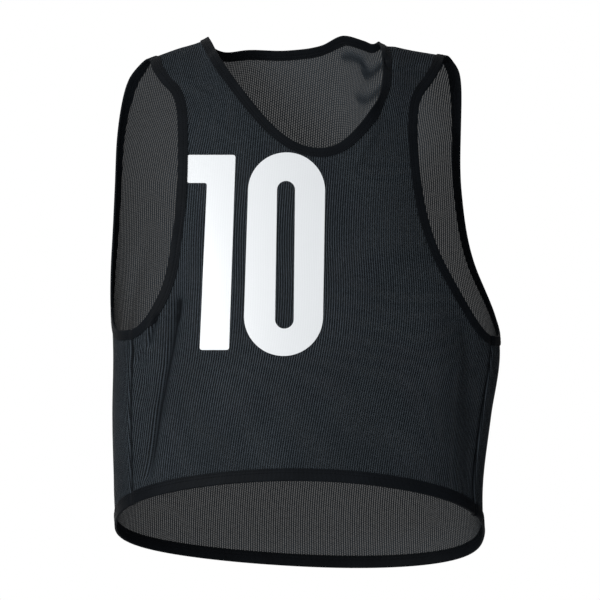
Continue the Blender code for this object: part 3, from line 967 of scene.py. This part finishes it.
def add_node(tree, kind, settings=None, values=None, links=None):
    """A shader node with its settings, input values and input links."""
    node = tree.nodes.new(kind)
    for key, value in (settings or {}).items():
        setattr(node, key, value)
    for key, value in (values or {}).items():
        node.inputs[key].default_value = value
    for key, socket in (links or {}).items():
        tree.links.new(socket, node.inputs[key])
    return node


def fed(tree, socket, value):
    """Link a socket to another's output, or set it to a constant."""
    if isinstance(value, bpy.types.NodeSocket):
        tree.links.new(value, socket)
    else:
        socket.default_value = value


def math_node(tree, operation, *values, kind="ShaderNodeMath", output="Value"):
    node = add_node(tree, kind, {"operation": operation})
    for socket, value in zip(node.inputs, values):
        fed(tree, socket, value)
    return node.outputs[output]


def vector_node(tree, operation, *values):
    output = "Value" if operation in ("LENGTH", "DOT_PRODUCT") else "Vector"
    return math_node(tree, operation, *values, kind="ShaderNodeVectorMath", output=output)


def noise(tree, vector, scale, detail=2.0, output="Fac"):
    values = {"Scale": scale, "Detail": detail}
    return add_node(tree, "ShaderNodeTexNoise", None, values, {"Vector": vector}).outputs[output]


def mixed(tree, share, low, high):
    """Colour between two, by a share from 0 to 1."""
    node = add_node(tree, "ShaderNodeMix", {"data_type": "RGBA"}, None, {"Factor": share})
    for key, colour in (("A", low), ("B", high)):
        fed(tree, [s for s in node.inputs if s.name == key and s.type == "RGBA"][0], colour)
    return [s for s in node.outputs if s.type == "RGBA"][0]


def ranged(tree, value, from_low, from_high, to_low, to_high):
    """A value eased from one range to another."""
    values = {"From Min": from_low, "From Max": from_high, "To Min": to_low, "To Max": to_high}
    settings = {"interpolation_type": "SMOOTHSTEP"}
    return add_node(tree, "ShaderNodeMapRange", settings, values, {"Value": value}).outputs["Result"]


def map_of(tree, name="cloth"):
    """A piece's own map, by name."""
    return add_node(tree, "ShaderNodeUVMap", {"uv_map": name}).outputs["UV"]


def surfaced(tree, shader, colour, relief, strength, distance, specular):
    """Give a material its colour, its relief and how much it gleams."""
    tree.links.new(colour, shader.inputs["Base Color"])
    values = {"Strength": strength, "Distance": distance}
    bump = add_node(tree, "ShaderNodeBump", None, values, {"Height": relief})
    tree.links.new(bump.outputs["Normal"], shader.inputs["Normal"])
    shader.inputs["Specular IOR Level"].default_value = specular


def hole_distance(tree, place):
    """Distance from the nearest hole of the knit, in metres; the holes stand in offset rows."""
    scaled = vector_node(tree, "DIVIDE", place, (HOLE_ACROSS, HOLE_DOWN, 1.0))
    lengths = []
    for offset in (0.0, 0.5):
        moved = vector_node(tree, "ADD", scaled, (offset, offset, 0.0))
        part = vector_node(tree, "SUBTRACT", vector_node(tree, "FRACTION", moved), (0.5, 0.5, 0.0))
        metres = vector_node(tree, "MULTIPLY", part, (HOLE_ACROSS, HOLE_DOWN * HOLE_SQUAT, 0.0))
        lengths.append(vector_node(tree, "LENGTH", metres))
    return math_node(tree, "MINIMUM", *lengths)


def mesh_cloth_material():
    """Black knitted mesh: rows of small holes between ribs of yarn, slightly uneven."""
    material, shader, tree = new_material("mesh_cloth", 0.62)
    place = map_of(tree)
    drift = vector_node(tree, "SUBTRACT", noise(tree, place, 35.0, 1.0, "Color"), (0.5, 0.5, 0.5))
    wander = vector_node(tree, "MULTIPLY", drift, (KNIT_WANDER, KNIT_WANDER, 0.0))
    distance = hole_distance(tree, vector_node(tree, "ADD", place, wander))
    size = ranged(tree, noise(tree, place, 260.0), 0.3, 0.7, -HOLE_UNEVEN, HOLE_UNEVEN)
    distance = math_node(tree, "ADD", distance, size)
    pressed_and_shaded = vector_node(tree, "DOT_PRODUCT", map_of(tree, "bunched"), (1.0, 0.0, 0.0))
    distance = math_node(tree, "MULTIPLY_ADD", pressed_and_shaded, HOLE_RADIUS, distance)
    low, high = HOLE_RADIUS - HOLE_SOFTNESS, HOLE_RADIUS + HOLE_SOFTNESS
    tree.links.new(ranged(tree, distance, low, high, HOLE_VEIL, 1.0), shader.inputs["Alpha"])

    # Yarn darker in the hollows round the holes than on the crests between them: painted shade in
    # the hollows
    rib = ranged(tree, distance, high, COLUMN / 2, 0.0, 1.0)
    fuzz = noise(tree, place, 2600.0, 3.0)
    tone_and_shade = math_node(tree, "MULTIPLY", rib, ranged(tree, fuzz, 0.25, 0.75, 0.6, 1.0))
    broad = ranged(tree, noise(tree, place, 14.0), 0.3, 0.7, 0.75, 1.0)
    colour = mixed(tree, math_node(tree, "MULTIPLY", tone_and_shade, broad), *MESH_COLOURS)
    # Painted shade: the colour darkens towards near black where the knit is squeezed together, in
    # creases and along seams
    colour = mixed(tree, math_node(tree, "MULTIPLY", pressed_and_shaded, PAINTED_SHADE_SHARE), colour, PAINTED_SHADE_COLOUR)
    relief = math_node(tree, "MULTIPLY_ADD", fuzz, 0.35, rib)
    surfaced(tree, shader, colour, relief, 0.55, 0.00025, 0.02)
    return material


def tape_material():
    """Black binding tape: fine ribs across the tape and a little fuzz."""
    material, shader, tree = new_material("binding_tape", 0.58)
    place = map_of(tree)
    settings = {"wave_type": "BANDS", "bands_direction": "X", "wave_profile": "SIN"}
    values = {"Scale": 210.0, "Distortion": 0.6, "Detail": 1.0}
    wave = add_node(tree, "ShaderNodeTexWave", settings, values, {"Vector": place}).outputs["Fac"]
    fuzz = noise(tree, place, 2200.0, 3.0)
    broad = ranged(tree, noise(tree, place, 30.0), 0.3, 0.7, 0.6, 1.0)
    # The ribs' crests lighter than their hollows: the tape's ribs, with painted shade in the hollows
    tone_and_shade = math_node(tree, "MULTIPLY", math_node(tree, "MULTIPLY", wave, fuzz), broad)
    relief = math_node(tree, "MULTIPLY_ADD", fuzz, 0.5, wave)
    surfaced(tree, shader, mixed(tree, tone_and_shade, *TAPE_COLOURS), relief, 0.5, 0.0002, 0.05)
    return material


def thread_material():
    """Black polyester sewing thread with the twist of its plies."""
    material, shader, tree = new_material("sewing_thread", 0.4)
    fuzz = noise(tree, add_node(tree, "ShaderNodeTexCoord").outputs["Object"], 1800.0)
    # The thread's colour follows its relief: painted shade in the hollows of its twist
    surfaced(tree, shader, mixed(tree, fuzz, *THREAD_COLOURS), fuzz, 0.4, 0.0001, 0.05)
    return material


def film_material():
    """White number film, set on the mesh by pressing, whose holes show faintly as dimples with
    painted shade.
    """
    material, shader, tree = new_material("number_film", 0.42)
    place = map_of(tree)
    press = ranged(tree, hole_distance(tree, place), 0.0, COLUMN * 0.45, 0.0, 1.0)
    speck = noise(tree, place, 500.0, 3.0)
    # Darker over the holes, where the film dips: painted shade in the dimples, with random specks
    shade = math_node(tree, "MULTIPLY_ADD", speck, 0.3, math_node(tree, "MULTIPLY", press, 0.7))
    surfaced(tree, shader, mixed(tree, shade, *FILM_COLOURS), press, 0.25, 0.00012, 0.5)
    return material


def placed(name, data):
    """A new object in the scene."""
    thing = bpy.data.objects.new(name, data)
    bpy.context.scene.collection.objects.link(thing)
    return thing


def add_map(mesh, name, places):
    """A map of a piece's face corners."""
    layer = mesh.uv_layers.new(name=name)
    layer.data.foreach_set("uv", np.asarray(places, np.float32).ravel())


def add_piece(name, slot, vertices, faces, material, places=None):
    """One piece of the bib, smooth but for its sharp edges, with its places on the cloth."""
    mesh = bpy.data.meshes.new(name)
    mesh.from_pydata([tuple(v) for v in vertices], [], [tuple(int(i) for i in f) for f in faces])
    mesh.materials.append(material)
    if places is not None:
        add_map(mesh, "cloth", places)
    mesh.shade_smooth()
    mesh.set_sharp_from_angle(angle=SHARP_ANGLE)
    piece = placed(name, mesh)
    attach(piece, "root")
    return piece


def add_cloth(name, slot, points, triangles, low, high, material, front):
    """A shell on the cloth, with its places on the knit."""
    vertices, faces = shell(points, triangles, low, high)
    corners = np.concatenate([np.array(face) % len(points) for face in faces])
    places = cloth_map(points, front)[corners]
    piece = add_piece(name, slot, vertices, faces, material, places)
    # Where the knit is squeezed together, which also sets the mesh's painted shade there
    pressed_and_shaded = bunched(*points.T)[corners]
    add_map(piece.data, "bunched", np.stack([pressed_and_shaded, pressed_and_shaded], 1))
    return piece


def add_binding(node, width, edges, tape, thread):
    """A binding's tape, which stands for its node, and the tape's stitches."""
    closed = len(edges) > 1
    profiles = [tape_profiles(edge, width) for edge in edges]
    profiles = ring(*profiles) if closed else profiles[0]
    places = tape_map(profiles, width, closed)
    name = node.replace("binding", "tape")
    band = add_piece(name, "binding_tape", *tape_solid(profiles, closed), tape, places)
    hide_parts(node)
    name = node.replace("binding", "stitches")
    sewing = tape_stitches(width, edges, closed)
    return [band, add_piece(name, "binding_tape", *sewing, thread)]


def add_seams(word, side, edges, tape, thread):
    """The overlocked side and shoulder seams at one side of the bib; side is 1 or -1."""
    seam = math.radians(SIDE_SEAM)
    top = inset(edges[word], BINDING_WIDTH)[-1, 1] + SEAM_INSET
    foot = inset(edges["hem"], HEM_BINDING_WIDTH)[0 if side > 0 else -1, 1] - SEAM_INSET
    downs = np.linspace(top, foot, SIDE_STATIONS)
    line = np.stack([np.full_like(downs, seam if side > 0 else math.tau - seam), downs], 1)
    flap, sewing = seam_allowance(line, np.array([side / RADIUS_AT_SIDE_SEAM, 0.0]))
    start = inset(edges["neck"], BINDING_WIDTH)[-1 if side > 0 else 0, 0]
    end = inset(edges[word], BINDING_WIDTH)[0, 0]
    arounds = np.linspace(start, end, SHOULDER_STATIONS)
    line = np.stack([arounds, np.full_like(arounds, -SHOULDER_SEAM_FORWARD)], 1)
    over, over_sewing = seam_allowance(line, np.array([0.0, 1.0]))
    made = []
    for name, (vertices, faces), material in (
        ("side_seam_", flap, tape),
        ("side_overlock_", sewing, thread),
        ("shoulder_seam_", over, tape),
        ("shoulder_overlock_", over_sewing, thread),
    ):
        places = vertices[np.concatenate(faces)][:, [2, 1]]
        made.append(add_piece(name + word, "binding_tape", vertices, faces, material, places))
    return made


def build_bib():
    mesh_cloth, tape, thread = mesh_cloth_material(), tape_material(), thread_material()
    film = film_material()
    edges, panels, trims = {}, {}, {}
    for front in (True, False):
        armholes = {"right": armhole_edge(front, 1), "left": armhole_edge(front, -1)}
        edges[front] = {**armholes, "neck": neck_edge(front), "hem": hem_edge(front)}
        word = "front" if front else "back"
        net = panel_net(edges[front], front)
        low, high = -CLOTH / 2, CLOTH / 2
        panels[front] = add_cloth(word + "_cloth", "mesh_cloth", *net, low, high, mesh_cloth, front)
        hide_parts(word + "_panel")
        hem = [edges[front]["hem"]]
        trims[front] = add_binding(word + "_hem_binding", HEM_BINDING_WIDTH, hem, tape, thread)

    for key, node in (
        ("neck", "neck_binding"),
        ("left", "armhole_binding_left"),
        ("right", "armhole_binding_right"),
    ):
        pair = [edges[True][key], edges[False][key]]
        trims[False] += add_binding(node, BINDING_WIDTH, pair, tape, thread)
    for side, word in ((1, "right"), (-1, "left")):
        trims[False] += add_seams(word, side, edges[False], tape, thread)

    for name, outlines in (
        ("number_one", [rounded_outline(ONE, ONE_CORNER)]),
        ("number_zero", [capsule_outline(ZERO_OUTER), capsule_outline(ZERO_INNER)]),
    ):
        low, high = CLOTH / 2 + FILM_LOW, CLOTH / 2 + FILM_TOP
        net = digit(*outlines)
        trims[True].append(add_cloth(name, "number_film", *net, low, high, film, True))


def build_stage():
    """Pale floor, pale surroundings, a soft light and the camera."""
    mesh = bpy.data.meshes.new("floor")
    corners = np.array([(-1, -1, 0), (1, -1, 0), (1, 1, 0), (-1, 1, 0)]) * FLOOR_REACH
    mesh.from_pydata(corners + (0, 0, FLOOR_HEIGHT), [], [(0, 1, 2, 3)])
    material, shader, _ = new_material("pale_floor", 0.9)
    shader.inputs["Base Color"].default_value = FLOOR_COLOUR
    mesh.materials.append(material)
    placed("floor", mesh)

    world = bpy.data.worlds.new("pale_room")
    world.use_nodes = True
    tree = world.node_tree
    background = tree.nodes["Background"]
    toward = add_node(tree, "ShaderNodeTexCoord").outputs["Generated"]
    toward = vector_node(tree, "NORMALIZE", toward)
    strength = 1.0
    for shade in ROOM_SHADES:
        share = vector_node(tree, "DOT_PRODUCT", toward, shade["way"])
        left = ranged(tree, share, *shade["range"], 1.0, shade["left"])
        strength = math_node(tree, "MULTIPLY", strength, left)
    tree.links.new(strength, background.inputs["Strength"])
    background.inputs["Color"].default_value = (1.0, 1.0, 1.0, 1)
    bpy.context.scene.world = world
    bpy.context.scene.view_settings.view_transform = "Standard"

    data = bpy.data.lights.new("key", "AREA")
    data.shape = "DISK"
    data.size, data.energy, data.color = KEY_SIZE, KEY_POWER, KEY_COLOUR
    light = placed("key", data)
    turn = Vector(VIEW_TARGET - KEY_PLACE).to_track_quat("-Z", "Y")
    light.matrix_world = Matrix.Translation(KEY_PLACE) @ turn.to_matrix().to_4x4()

    back, right, up = camera_axes()
    data = bpy.data.cameras.new("camera")
    data.sensor_width = SENSOR
    data.lens = SENSOR * VIEW_DISTANCE / VIEW_WIDTH
    data.clip_end = 100.0
    camera = placed("camera", data)
    place = VIEW_TARGET + back * VIEW_DISTANCE - right * VIEW_SLIDE
    turn = Matrix([[*row] for row in np.stack([right, up, back], 1)]).to_4x4()
    camera.matrix_world = Matrix.Translation(Vector(place)) @ turn
    bpy.context.scene.camera = camera


build_bib()
build_stage()
